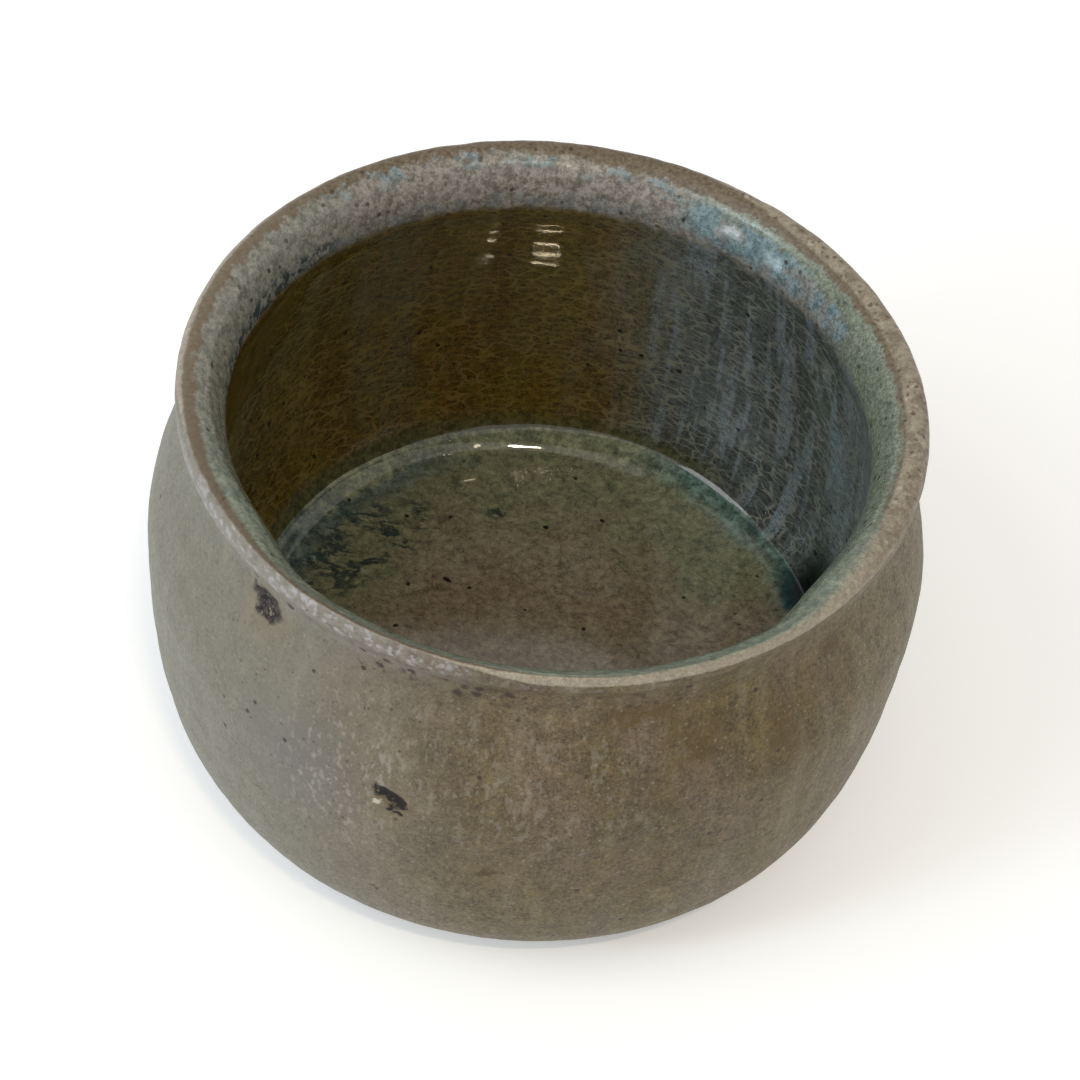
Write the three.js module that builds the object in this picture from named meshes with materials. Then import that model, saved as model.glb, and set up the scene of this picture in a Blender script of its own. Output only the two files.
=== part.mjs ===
// A low, round, handleless stoneware cup: a thrown and turned clay body, and the glaze coats on it.
// Millimetres, +Z up. The origin is the centre of the foot, on the surface that the cup stands on.
import * as THREE from 'three';

// Clay wall
const BODY_HEIGHT = 57.5; // foot to the crest of the lip
const BELLY_RADIUS = 45.7; // widest part of the outside
const BELLY_HEIGHT = 33.5; // height of that widest part
const WALL = 5.3; // belly to cavity
const CAVITY_HEIGHT = 31; // height of the widest part of the inside

// Lip
const LIP_RADIUS = 42.5; // outer edge of the lip
const LIP_WIDTH = 4.3; // outer edge of the lip to the throat
const LIP_EDGE = 1.3; // rounding of the lip's outer edge
const LIP_SHOULDER = 1.6; // reach of the soft turn from the crest into the inner slope
const THROAT_DROP = 6.2; // crest down to the throat, the narrowest ring of the inside
const NECK_DEPTH = 1.3; // outer edge of the lip to the neck under it
const NECK_DROP = 5.5; // crest down to the neck

// Foot and floor
const FOOT_RADIUS = 28; // outer edge of the foot ring
const FOOT_WIDTH = 4.2; // width of the foot ring
const FOOT_HEIGHT = 3.5; // step from the ring to the underside of the wall
const FOOT_TAPER = 0.7; // how far each side of the ring leans out of the upright
const FOOT_EDGE = 0.5; // bevel along both edges of the tread
const FOOT_FILLET = 0.8; // turned corner between the ring and the wall
const RECESS_DEPTH = 3; // hollow inside the foot ring
const FLOOR_THICKNESS = 5.4; // recess to the middle of the floor
const FLOOR_RADIUS = 28; // flat part of the floor
const FLOOR_DISH = 0.5; // rise of the floor from its middle to its edge

// Glaze coats
const SEAT = 0.2; // clearance between the clay and the glaze on it
const JOINT = 0.2; // clearance between neighbouring coats, along the wall
const COAT_EDGE = 0.6; // length over which a coat thins to its edge
const EDGE_SHARE = 0.4; // thickness left at the edge of a coat, as a share
const OUTER_GLAZE = 0.5; // thickness of the coat on the outside
const GLAZE_LINE = 2.5; // bare clay between the foot and the outer coat
const LIP_GLAZE = 0.3; // thickness over the crest, where the glaze runs thin
const LIP_GLAZE_OUT = 2.4; // reach of the thin coat from the crest down the outside
const LIP_GLAZE_IN = 1.8; // reach of the thin coat from the crest down the inside
const BAND_TOP = 0.5; // thickness of the pale band where it starts
const BAND_ROLL = 0.95; // thickness of its rolled edge at the throat
const BAND_REACH = 1.6; // reach of the rolled edge below the throat
const WALL_GLAZE = 0.4; // thickness of the liner on the inner wall
const POOL_DEPTH = 2.3; // glass over the middle of the floor
const MENISCUS_RISE = 0.7; // climb of the pool's edge up the wall
const MENISCUS_RUN = 2.2; // width of that climb
const MENISCUS_BEND = 0.75; // distance from the wall at which it steepens

// Fullness of the section: the share of the way that each curve's handle reaches
const UNDERSIDE_FULLNESS = 0.7; // from the foot out towards the belly
const SIDE_FULLNESS = 0.97; // from the belly down towards the underside
const BELLY_SWEEP = 0.4; // from the belly up towards the neck
const NECK_SWEEP = 0.3; // from the neck down towards the belly
const LIP_FLARE = 0.4; // from the neck up into the lip, and back
const SLOPE_FULLNESS = 0.5; // from the throat up the inner slope of the lip
const THROAT_SWEEP = 0.2; // from the throat down towards the cavity
const CAVITY_SWEEP = 0.4; // from the cavity up towards the throat
const CAVITY_FULLNESS = 0.9; // from the cavity down towards the floor
const CORNER_FULLNESS = 0.75; // from the flat of the floor out towards the cavity
const DISH_EASE = 0.4; // along the floor, at its edge and at its middle

// Facets
const SEGMENTS = 48; // around the cup
const SKIN_STEPS = [8, 4, 3, 3, 4, 5, 9, 2]; // along each curve of the section
const FILLET_STEPS = 3; // along each turned corner of the foot
const MENISCUS_STEPS = 4; // along the pool's edge
const PRECISION = 1e-4; // of a place that is searched for along the section

// Places worked out from the sizes
const cavityRadius = BELLY_RADIUS - WALL;
const throatRadius = LIP_RADIUS - LIP_WIDTH;
const throatHeight = BODY_HEIGHT - THROAT_DROP;
const neckRadius = LIP_RADIUS - NECK_DEPTH;
const neckHeight = BODY_HEIGHT - NECK_DROP;
const crestRadius = LIP_RADIUS - LIP_EDGE;
const lipHeight = BODY_HEIGHT - LIP_EDGE;
const footInner = FOOT_RADIUS - FOOT_WIDTH;
const ringTop = FOOT_RADIUS + FOOT_TAPER;
const shoulderRadius = ringTop + FOOT_FILLET;
const floorHeight = RECESS_DEPTH + FLOOR_THICKNESS;
const floorEdge = floorHeight + FLOOR_DISH;
const poolLevel = floorHeight + SEAT + POOL_DEPTH;

function point(radius, height) {
  return new THREE.Vector2(radius, height);
}

// A curve of the section that leaves each end along that end's handle.
function bow(start, startHandle, endHandle, end) {
  return new THREE.CubicBezierCurve(start, startHandle, endHandle, end);
}

function between(a, b, share) {
  return THREE.MathUtils.lerp(a, b, share);
}

// The glazed surface of the clay as one line: from the foot up the outside, over the lip,
// down the inside and across the floor to the axis.
function claySkin() {
  const skin = new THREE.CurvePath();
  const belly = point(BELLY_RADIUS, BELLY_HEIGHT);
  const neck = point(neckRadius, neckHeight);
  const lip = point(LIP_RADIUS, lipHeight);
  const crest = point(crestRadius, BODY_HEIGHT);
  const throat = point(throatRadius, throatHeight);
  const cavity = point(cavityRadius, CAVITY_HEIGHT);
  const floor = point(FLOOR_RADIUS, floorEdge);

  skin.add(bow(
    point(shoulderRadius, FOOT_HEIGHT),
    point(between(shoulderRadius, BELLY_RADIUS, UNDERSIDE_FULLNESS), FOOT_HEIGHT),
    point(BELLY_RADIUS, between(BELLY_HEIGHT, FOOT_HEIGHT, SIDE_FULLNESS)),
    belly,
  ));
  skin.add(bow(
    belly,
    point(BELLY_RADIUS, between(BELLY_HEIGHT, neckHeight, BELLY_SWEEP)),
    point(neckRadius, between(neckHeight, BELLY_HEIGHT, NECK_SWEEP)),
    neck,
  ));
  skin.add(bow(
    neck,
    point(neckRadius, between(neckHeight, lipHeight, LIP_FLARE)),
    point(LIP_RADIUS, between(lipHeight, neckHeight, LIP_FLARE)),
    lip,
  ));
  skin.add(new THREE.EllipseCurve(crestRadius, lipHeight, LIP_EDGE, LIP_EDGE, 0, Math.PI / 2));
  skin.add(bow(
    crest,
    point(crestRadius - LIP_SHOULDER, BODY_HEIGHT),
    point(throatRadius, between(throatHeight, BODY_HEIGHT, SLOPE_FULLNESS)),
    throat,
  ));
  skin.add(bow(
    throat,
    point(throatRadius, between(throatHeight, CAVITY_HEIGHT, THROAT_SWEEP)),
    point(cavityRadius, between(CAVITY_HEIGHT, throatHeight, CAVITY_SWEEP)),
    cavity,
  ));
  skin.add(bow(
    cavity,
    point(cavityRadius, between(CAVITY_HEIGHT, floorEdge, CAVITY_FULLNESS)),
    point(between(FLOOR_RADIUS, cavityRadius, CORNER_FULLNESS), floorEdge),
    floor,
  ));
  skin.add(bow(
    floor,
    point(between(FLOOR_RADIUS, 0, DISH_EASE), floorEdge),
    point(between(0, FLOOR_RADIUS, DISH_EASE), floorHeight),
    point(0, floorHeight),
  ));
  return skin;
}

const skin = claySkin();
const curveEnds = skin.getCurveLengths();
const [, , , crestMark, throatMark, cavityMark, , centreMark] = curveEnds;

// Distances along the skin where its facets break, the same for the clay and for every coat.
// They lie closest where a curve bends most.
const breaks = [0];
skin.curves.forEach((curve, index) => {
  const start = breaks.at(-1);
  const lengths = curve.getLengths();
  const last = lengths.length - 1;
  for (let step = 1; step <= SKIN_STEPS[index]; step += 1) {
    const reached = lengths[Math.round(last * step / SKIN_STEPS[index])];
    breaks.push(between(start, curveEnds[index], reached / lengths[last]));
  }
});

// The point at a distance along the skin, lifted off the clay.
function onSkin(mark, lift) {
  const share = mark / centreMark;
  const spot = skin.getPoint(share);
  const along = skin.getTangent(share);
  return point(Math.max(0, spot.x + lift * along.y), spot.y - lift * along.x);
}

function breaksBetween(from, to) {
  return breaks.filter((mark) => mark > from && mark < to);
}

// The distance along the floor's rise where the lifted skin has a given height.
function markAtHeight(height, lift) {
  let above = cavityMark;
  let below = centreMark;
  while (below - above > PRECISION) {
    const middle = (above + below) / 2;
    if (onSkin(middle, lift).y > height) {
      above = middle;
    } else {
      below = middle;
    }
  }
  return above;
}

function revolve(profile) {
  const geometry = new THREE.LatheGeometry(profile, SEGMENTS);
  geometry.rotateX(Math.PI / 2);
  return geometry;
}

// The closed section of a coat that follows the skin and thins to both of its edges.
function coatProfile(from, to, thickness) {
  const marks = [from + COAT_EDGE, ...breaksBetween(from, to), to - COAT_EDGE];
  const ordered = [from, ...marks.sort((a, b) => a - b), to];
  const surface = ordered.map((mark) => {
    const inset = Math.min(mark - from, to - mark, COAT_EDGE) / COAT_EDGE;
    const share = between(EDGE_SHARE, 1, Math.sin(inset * Math.PI / 2));
    return onSkin(mark, SEAT + share * thickness(mark));
  });
  const seat = ordered.map((mark) => onSkin(mark, SEAT));
  return [...surface, ...seat.reverse(), surface[0]];
}

// Underside of the clay: the recess, then the foot ring with its bevelled tread.
function footProfile() {
  const outline = new THREE.Path();
  const recessEdge = footInner - FOOT_TAPER;
  outline.moveTo(0, RECESS_DEPTH);
  outline.lineTo(recessEdge - FOOT_FILLET, RECESS_DEPTH);
  outline.quadraticCurveTo(recessEdge, RECESS_DEPTH, recessEdge, RECESS_DEPTH - FOOT_FILLET);
  outline.lineTo(footInner, FOOT_EDGE);
  outline.lineTo(footInner + FOOT_EDGE, 0);
  outline.lineTo(FOOT_RADIUS - FOOT_EDGE, 0);
  outline.lineTo(FOOT_RADIUS, FOOT_EDGE);
  outline.lineTo(ringTop, FOOT_HEIGHT - FOOT_FILLET);
  outline.quadraticCurveTo(ringTop, FOOT_HEIGHT, shoulderRadius, FOOT_HEIGHT);
  return outline.getPoints(FILLET_STEPS);
}

function clayBody() {
  const wall = breaks.slice(1).map((mark) => onSkin(mark, 0));
  return revolve([...footProfile(), ...wall]);
}

const lipStart = crestMark - LIP_GLAZE_OUT;
const lipEnd = crestMark + LIP_GLAZE_IN;
const bandStart = lipEnd + JOINT;
const bandEnd = throatMark + BAND_REACH;
const poolMark = markAtHeight(poolLevel + MENISCUS_RISE, SEAT);

function outerGlaze() {
  return revolve(coatProfile(GLAZE_LINE, lipStart - JOINT, () => OUTER_GLAZE));
}

function lipGlaze() {
  return revolve(coatProfile(lipStart, lipEnd, () => LIP_GLAZE));
}

// The band gathers towards the throat, where it stands as a soft roll.
function rimBandGlaze() {
  const gather = (mark) => THREE.MathUtils.smoothstep(mark, bandStart, throatMark);
  return revolve(coatProfile(bandStart, bandEnd, (mark) => between(BAND_TOP, BAND_ROLL, gather(mark))));
}

function innerWallGlaze() {
  return revolve(coatProfile(bandEnd + JOINT, poolMark - JOINT, () => WALL_GLAZE));
}

// The pool lies on the dished floor, is level in the middle and climbs the wall at its edge.
function floorGlazePool() {
  const rim = onSkin(poolMark, SEAT);
  const bed = breaks.filter((mark) => mark > poolMark).map((mark) => onSkin(mark, SEAT));
  const level = point(rim.x - MENISCUS_RUN, poolLevel);
  const bend = point(rim.x - MENISCUS_BEND, poolLevel);
  const meniscus = new THREE.QuadraticBezierCurve(rim, bend, level);
  return revolve([...bed.reverse(), ...meniscus.getPoints(MENISCUS_STEPS), point(0, poolLevel)]);
}

function finish(colour, roughness) {
  return new THREE.MeshStandardMaterial({ color: colour, roughness, metalness: 0 });
}

function piece(name, geometry, material) {
  const mesh = new THREE.Mesh(geometry, material);
  mesh.name = name;
  return mesh;
}

const cup = new THREE.Group();
cup.add(
  piece('clay_body', clayBody(), finish(0x9c8468, 0.9)),
  piece('outer_glaze', outerGlaze(), finish(0x8b8272, 0.5)),
  piece('lip_glaze', lipGlaze(), finish(0x7d6a55, 0.4)),
  piece('rim_band_glaze', rimBandGlaze(), finish(0xa9a79f, 0.25)),
  piece('inner_wall_glaze', innerWallGlaze(), finish(0x5f5747, 0.12)),
  piece('floor_glaze_pool', floorGlazePool(), finish(0x7d785f, 0.08)),
);

export default cup;
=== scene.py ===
"""Looks of a low, round, handleless stoneware cup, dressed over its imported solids.

Sizes are in millimetres, as in the solids, and turn into metres where a mesh, lamp or camera is made.
Azimuths are in degrees around the axis: -90 faces the camera, 0 is on its right, 90 is the far side.
A mark is a distance along the section of the clay, from the foot up, over the lip and down inside.
"""
import math

import bpy
import numpy as np
from mathutils import Matrix, Vector


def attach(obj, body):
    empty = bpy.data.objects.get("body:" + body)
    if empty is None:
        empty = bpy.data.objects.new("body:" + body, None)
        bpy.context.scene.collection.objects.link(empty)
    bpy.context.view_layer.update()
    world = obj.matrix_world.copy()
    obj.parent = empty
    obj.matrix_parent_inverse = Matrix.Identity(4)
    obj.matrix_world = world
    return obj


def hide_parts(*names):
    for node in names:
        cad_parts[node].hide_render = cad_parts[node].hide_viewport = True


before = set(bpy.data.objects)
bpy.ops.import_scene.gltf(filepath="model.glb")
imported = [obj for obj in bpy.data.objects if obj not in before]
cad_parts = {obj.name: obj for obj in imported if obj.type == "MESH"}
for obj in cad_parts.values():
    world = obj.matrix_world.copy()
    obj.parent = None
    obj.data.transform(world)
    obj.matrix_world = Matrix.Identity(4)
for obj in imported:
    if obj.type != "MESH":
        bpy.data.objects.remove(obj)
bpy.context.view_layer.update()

MM = 0.001

# Section of the clay, as in the solids
BODY_HEIGHT = 57.5
BELLY_RADIUS = 45.7
BELLY_HEIGHT = 33.5
CAVITY_RADIUS = 40.4
CAVITY_HEIGHT = 31
LIP_RADIUS = 42.5
LIP_EDGE = 1.3
LIP_SHOULDER = 1.6
THROAT_RADIUS = 38.2
THROAT_HEIGHT = 51.3
NECK_RADIUS = 41.2
NECK_HEIGHT = 52
FOOT_OUTER = 28
FOOT_INNER = 23.8
FOOT_HEIGHT = 3.5
FOOT_TAPER = 0.7
FOOT_EDGE = 0.5
TREAD_ROUNDING = (0.15, 0.18)
FOOT_FILLET = 0.8
RECESS_DEPTH = 3
FLOOR_RADIUS = 28
FLOOR_HEIGHT = 8.4
FLOOR_DISH = 0.5

# Fullness of the section: the share of the way that each curve's handle reaches
UNDERSIDE_FULLNESS = 0.7
SIDE_FULLNESS = 0.97
BELLY_SWEEP = 0.4
NECK_SWEEP = 0.3
LIP_FLARE = 0.4
SLOPE_FULLNESS = 0.5
THROAT_SWEEP = 0.2
CAVITY_SWEEP = 0.4
CAVITY_FULLNESS = 0.9
CORNER_FULLNESS = 0.75
DISH_EASE = 0.4

# Glaze: how far it lifts off the clay, and how far it reaches along it
OUTER_LIFT = 0.7
LIP_LIFT = 0.5
ROLL_LIFT = 1.15
WALL_LIFT = 0.6
SUNK = -0.05  # lift of the hidden side of a coat, just inside the clay
GLAZE_LINE = 2.5
GLAZE_BEAD = 0.18
LIP_OUT = 2.5
LIP_IN = 1.9
BAND_REACH = 1.7
COAT_END_HEIGHT = 9.7  # the liner ends here, under the pool

# Pool of glass on the floor
POOL_LEVEL = 10.6
MENISCUS_RISE = 0.8
POOL_CLIMBS = [(152, 26, 0.6), (86, 36, 0.8)]  # azimuth, spread and extra rise up the wall
POOL_WAVER = 0.12
POOL_SUNK = 0.05
POOL_UNDERLAP = 0.15
POOL_RIPPLE = 0.006
FILLET_SLOPE = 0.85
FILLET_REACH = 0.3
FILLET_SHARE = 0.3  # of the rise, at most
LEDGE_SLOPE = 0.33
LEDGE_WIDTH = 0.3
STEP_SLOPE = 0.8
EASE_SLOPE = 1.5  # the steepest slope of an eased step, against its mean
# Where the pool's edge differs: azimuth and spread
BACK_LEDGE = (90, 26)
BACK_LEDGE_WIDTH = 2.0
TIGHT_FILLET = (92, 22)
TIGHT_FILLET_CUT = 0.5
SOFT_STEP = (150, 35)
SOFT_STEP_CUT = 0.2
# On the right the edge is plain
PLAIN_AZIMUTH = 10
PLAIN_FADE = (52, 85)
PLAIN_STEP_SLOPE = 0.28
PLAIN_FILLET_CUT = 0.75

# Fineness of the meshes
SEGMENTS = 512
CURVE_POINTS = 400
FILLET_POINTS = 8
OUTER_STEP = 0.55
LIP_STEP = 0.22
BAND_STEP = 0.25
WALL_STEP = 0.5
POOL_STEP = 0.6
POOL_EDGE_ROWS = 36
BED_STEP = 4
FOOT_STEP = 0.35
COVERED_STEP = 1.5
SEAT_STRIDE = 4

# Camera of the photographed view
CAMERA_ELEVATION = 48.41
CAMERA_ROLL = 7.88
CAMERA_DISTANCE = 320
CAMERA_TARGET = (0.6, 0.31, 30)
CAMERA_LENS = 88.1
CAMERA_SENSOR = 36
CAMERA_NEAR = 10

# Floor, world and lamps of the studio
STUDIO_REACH = 3000
FLOOR_GLOW = 0.26
WORLD_FILL = 0.55
LAMPS = {
    # azimuth, elevation, distance, width, height, level, linear colour
    "window": (-150, 44, 800, 360, 500, 0.3, (0.9, 0.96, 1.0)),
    "low_pane": (-146, 30, 800, 120, 20, 0.16, (0.66, 0.86, 1.0)),
    "ceiling": (-80, 70, 1200, 900, 900, 0.07, (1.0, 0.94, 0.84)),
    "bulb": (-77, 60, 900, 90, 2.6, 0.16, (1.0, 0.84, 0.56)),
    "second_bulb": (-52, 60, 900, 30, 2.6, 0.014, (1.0, 0.84, 0.56)),
}


def lerp(a, b, share):
    return a + (b - a) * share


def ease(value, low, high):
    """Smooth step from 0 at low to 1 at high."""
    share = np.clip((value - low) / (high - low), 0, 1)
    return share * share * (3 - 2 * share)


# Curves of the section

def bow(start, start_handle, end_handle, end):
    """Points of a curve that leaves each end along that end's handle."""
    t = np.linspace(0, 1, CURVE_POINTS)[:, None]
    corners = np.array([start, start_handle, end_handle, end], float)
    weights = np.hstack([(1 - t) ** 3, 3 * (1 - t) ** 2 * t, 3 * (1 - t) * t ** 2, t ** 3])
    return weights @ corners


def lip_turn():
    """Points of the quarter circle over the outer edge of the lip."""
    turn = np.linspace(0, math.pi / 2, CURVE_POINTS)
    centre = np.array([LIP_RADIUS - LIP_EDGE, BODY_HEIGHT - LIP_EDGE])
    return centre + LIP_EDGE * np.stack([np.cos(turn), np.sin(turn)], axis=1)


def clay_section():
    """The curves of the clay's surface from the foot's shoulder to the middle of the floor."""
    shoulder = FOOT_OUTER + FOOT_TAPER + FOOT_FILLET
    lip_height = BODY_HEIGHT - LIP_EDGE
    crest = LIP_RADIUS - LIP_EDGE
    floor_edge = FLOOR_HEIGHT + FLOOR_DISH
    belly = (BELLY_RADIUS, BELLY_HEIGHT)
    neck = (NECK_RADIUS, NECK_HEIGHT)
    throat = (THROAT_RADIUS, THROAT_HEIGHT)
    cavity = (CAVITY_RADIUS, CAVITY_HEIGHT)
    return [
        bow((shoulder, FOOT_HEIGHT), (lerp(shoulder, BELLY_RADIUS, UNDERSIDE_FULLNESS), FOOT_HEIGHT),
            (BELLY_RADIUS, lerp(BELLY_HEIGHT, FOOT_HEIGHT, SIDE_FULLNESS)), belly),
        bow(belly, (BELLY_RADIUS, lerp(BELLY_HEIGHT, NECK_HEIGHT, BELLY_SWEEP)),
            (NECK_RADIUS, lerp(NECK_HEIGHT, BELLY_HEIGHT, NECK_SWEEP)), neck),
        bow(neck, (NECK_RADIUS, lerp(NECK_HEIGHT, lip_height, LIP_FLARE)),
            (LIP_RADIUS, lerp(lip_height, NECK_HEIGHT, LIP_FLARE)), (LIP_RADIUS, lip_height)),
        lip_turn(),
        bow((crest, BODY_HEIGHT), (crest - LIP_SHOULDER, BODY_HEIGHT),
            (THROAT_RADIUS, lerp(THROAT_HEIGHT, BODY_HEIGHT, SLOPE_FULLNESS)), throat),
        bow(throat, (THROAT_RADIUS, lerp(THROAT_HEIGHT, CAVITY_HEIGHT, THROAT_SWEEP)),
            (CAVITY_RADIUS, lerp(CAVITY_HEIGHT, THROAT_HEIGHT, CAVITY_SWEEP)), cavity),
        bow(cavity, (CAVITY_RADIUS, lerp(CAVITY_HEIGHT, floor_edge, CAVITY_FULLNESS)),
            (lerp(FLOOR_RADIUS, CAVITY_RADIUS, CORNER_FULLNESS), floor_edge), (FLOOR_RADIUS, floor_edge)),
        bow((FLOOR_RADIUS, floor_edge), (lerp(FLOOR_RADIUS, 0, DISH_EASE), floor_edge),
            (lerp(0, FLOOR_RADIUS, DISH_EASE), FLOOR_HEIGHT), (0, FLOOR_HEIGHT)),
    ]


def lengths_along(points):
    return np.concatenate([[0], np.cumsum(np.linalg.norm(np.diff(points, axis=0), axis=1))])


CURVES = clay_section()
SKIN = np.concatenate([CURVES[0]] + [curve[1:] for curve in CURVES[1:]])
SKIN_MARKS = lengths_along(SKIN)
SKIN_SLOPES = np.gradient(SKIN, SKIN_MARKS, axis=0)
CURVE_ENDS = np.cumsum([lengths_along(curve)[-1] for curve in CURVES])
CREST, THROAT, CAVITY, CENTRE = CURVE_ENDS[[3, 4, 5, 7]]
LIP_START = CREST - LIP_OUT
LIP_END = CREST + LIP_IN
BAND_END = THROAT + BAND_REACH
AZIMUTHS = np.linspace(0, 2 * math.pi, SEGMENTS, endpoint=False)


def on_skin(mark, lift):
    """Radius and height of the section at a mark, lifted off the clay."""
    radius, height = (np.interp(mark, SKIN_MARKS, SKIN[:, axis]) for axis in (0, 1))
    out, up = (np.interp(mark, SKIN_MARKS, SKIN_SLOPES[:, axis]) for axis in (0, 1))
    return np.maximum(radius + lift * up, 0), height - lift * out


def mark_at_height(height):
    """The mark on the inner wall, near the floor, at a height of the glaze."""
    marks = np.linspace(CAVITY, CENTRE, CURVE_POINTS * 4)
    heights = on_skin(marks, WALL_LIFT)[1]
    lowest = np.argmin(heights)
    return np.interp(-np.asarray(height), -heights[:lowest], marks[:lowest])


def radius_at(height):
    """Radius of the glazed outside at a height."""
    outside = SKIN_MARKS < CREST
    return float(np.interp(height, SKIN[outside, 1], SKIN[outside, 0]) + OUTER_LIFT)


# Unevenness of a cup that was thrown by hand

FULL_LENGTH = 200  # longer than the section, for noise that only varies around the cup
FLOOR_SHIFT = 2.2
FLOOR_SHIFT_TOP = 38
OUT_OF_ROUND = 0.35
OVAL_TURN = 0.6
OVAL_HEIGHTS = (4, 45)  # the wall goes out of round between these
CALM_RADIUS = 10
LIP_DIP = 0.3
DIP_TURN = 0.9
DIP_HEIGHTS = (38, 57)
DIP_WAVES = (0.35, 0.15)  # shares of one wave and of three waves around the lip
NECK_TUCK = 0.35
NECK_SPREAD = 3.5
TUCK_HEIGHT = 50
TUCKS = [(0, 50, 1), (180, 40, 0.6)]  # azimuth, spread and share
LIP_THIN_OUT = 1.3
LIP_THIN_DOWN = 1.15
LIP_THIN_AZIMUTH = -87
LIP_THIN_FADE = (37, 56)
LIP_THIN_START = (CREST - 1.8, CREST + 1)
LIP_THIN_END = (CREST + 4.5, THROAT + 6)


def uneven(cells_around, cell_height, mark, seed):
    """Smooth noise from -1 to 1 over marks (rows) and azimuths (columns), seamless around the cup."""
    mark = np.broadcast_to(mark, np.broadcast_shapes(np.shape(mark), (1, SEGMENTS)))
    rows = mark / cell_height
    columns = np.broadcast_to(AZIMUTHS / (2 * math.pi) * cells_around, mark.shape)
    low_row, low_column = np.floor(rows).astype(int), np.floor(columns).astype(int)
    lattice_rows = int(math.ceil(CENTRE / cell_height)) + 3
    lattice = np.random.default_rng(seed).uniform(-1, 1, (lattice_rows, cells_around))
    across, along = (ease(share, 0, 1) for share in (columns - low_column, rows - low_row))
    corner = [[lattice[(low_row + i) % lattice_rows, (low_column + j) % cells_around] for j in (0, 1)]
              for i in (0, 1)]
    return lerp(lerp(corner[0][0], corner[0][1], across), lerp(corner[1][0], corner[1][1], across), along)


def degrees_from(azimuth):
    """Signed angle from a given azimuth to each azimuth of the mesh."""
    return (np.degrees(AZIMUTHS) - azimuth + 180) % 360 - 180


def degrees_off(azimuth):
    return np.abs(degrees_from(azimuth))


def around(azimuth, spread):
    """Weight of a direction: 1 at an azimuth, fading over a spread, both in degrees."""
    return np.exp(-(degrees_off(azimuth) / spread) ** 2)


def thrown(radius, height, inside):
    """Turns section points about the axis into places, with the sway of a thrown wall."""
    oval = OUT_OF_ROUND * (0.5 - 0.5 * np.cos(2 * AZIMUTHS - OVAL_TURN)) * ease(height, *OVAL_HEIGHTS)
    tuck = NECK_TUCK * np.exp(-((height - TUCK_HEIGHT) / NECK_SPREAD) ** 2) * (1 - inside)
    tuck = tuck * sum(share * around(azimuth, spread) for azimuth, spread, share in TUCKS)
    radius = np.maximum(radius - (oval + tuck) * np.minimum(radius / CALM_RADIUS, 1), 0)
    one, three = DIP_WAVES
    dip = 0.5 - one * np.cos(AZIMUTHS + DIP_TURN) - three * np.cos(3 * AZIMUTHS)
    dip = LIP_DIP * dip * ease(height, *DIP_HEIGHTS)
    shift = FLOOR_SHIFT * inside * (1 - ease(height, POOL_LEVEL, FLOOR_SHIFT_TOP))
    x = radius * np.cos(AZIMUTHS) + shift
    y = radius * np.sin(AZIMUTHS)
    return np.stack(np.broadcast_arrays(x, y, height - dip), axis=-1)


def lip_thinning(mark):
    """How far the inner side of the lip lies out and down in front, where the lip was drawn thinner."""
    share = ease(mark, *LIP_THIN_START) * (1 - ease(mark, *LIP_THIN_END))
    share = share * (1 - ease(degrees_off(LIP_THIN_AZIMUTH), *LIP_THIN_FADE))
    return LIP_THIN_OUT * share, LIP_THIN_DOWN * share


def thrown_skin(mark, lift, inside):
    """Places of the section at a mark, lifted off the clay and turned about the axis."""
    radius, height = on_skin(mark, lift)
    out, down = lip_thinning(mark)
    return thrown(radius + out, height - down, inside)


def insideness(mark):
    """0 on the outside, turning to 1 from the crest down to the throat."""
    return ease(mark, CREST - 0.5, THROAT)


# Surface of the glaze, in one piece from the glaze line to under the pool

LINE_WAVER = (0.9, 0.6, 0.35)  # how far up the glaze line lies, and its long and short waver
LINE_FADE = 9
LINE_EDGE = (GLAZE_LINE - 0.5, GLAZE_LINE + 0.9)
BEAD_MARK = GLAZE_LINE + 1.1
BEAD_SPREAD = 0.6
LIFT_TURNS = [
    # a lift of the glaze, and the marks between which it turns into that
    (LIP_LIFT, CREST - 3, CREST - 2),
    (OUTER_LIFT, CREST + 1.3, CREST + 2.4),
    (ROLL_LIFT, CREST + 2, THROAT),
]
ROLL_END = (THROAT - 0.2, THROAT + 4)
ROLL_RUNS = (0.35, 0.3)  # wide and narrow runs under the roll
RUN_STRETCH = 1.4
RELIEF_DROP = 0.12
SWELL = 0.1
RING_PITCH = 5.2
# Relief outside, over the rim, inside, and what is added low on the inner wall
RING_RELIEF = (0.035, 0, 0.014, 0.016)
PEEL_RELIEF = (0.035, 0.05, 0.004, 0.01)
GRAIN_RELIEF = (0.028, 0.045, 0.001, 0)
# A blemish: its raised edge, and its flat middle, against its size
BLEMISH_EDGE = 0.35
EDGE_REACH = 1.15
EDGE_SPREAD = 0.25
MIDDLE_REACH = 0.4
BLEMISHES = [
    # azimuth, mark, across, along, depth; a run of thick glaze has a depth below zero
    (-131, 57.0, 2.4, 2.0, 0.2),
    (-104.8, 42.2, 1.7, 1.3, 0.2),
    (-90, 32.5, 0.9, 0.5, 0.12),
    (-108.5, 62.2, 0.7, 0.6, 0.15),
    (60, 71.5, 3.6, 2.0, -0.26),
    (50.5, 71.8, 3.2, 2.0, -0.26),
    (93, 69.2, 2.6, 1.4, -0.1),
]


def rows_between(start, end, step):
    return np.linspace(start, end, max(2, int(round((end - start) / step)) + 1))


POOL_MARK = float(mark_at_height(COAT_END_HEIGHT))
ZONES = {
    "outer": rows_between(GLAZE_LINE, LIP_START, OUTER_STEP),
    "lip": rows_between(LIP_START, LIP_END, LIP_STEP),
    "band": rows_between(LIP_END, BAND_END, BAND_STEP),
    "wall": rows_between(BAND_END, POOL_MARK, WALL_STEP),
}


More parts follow.
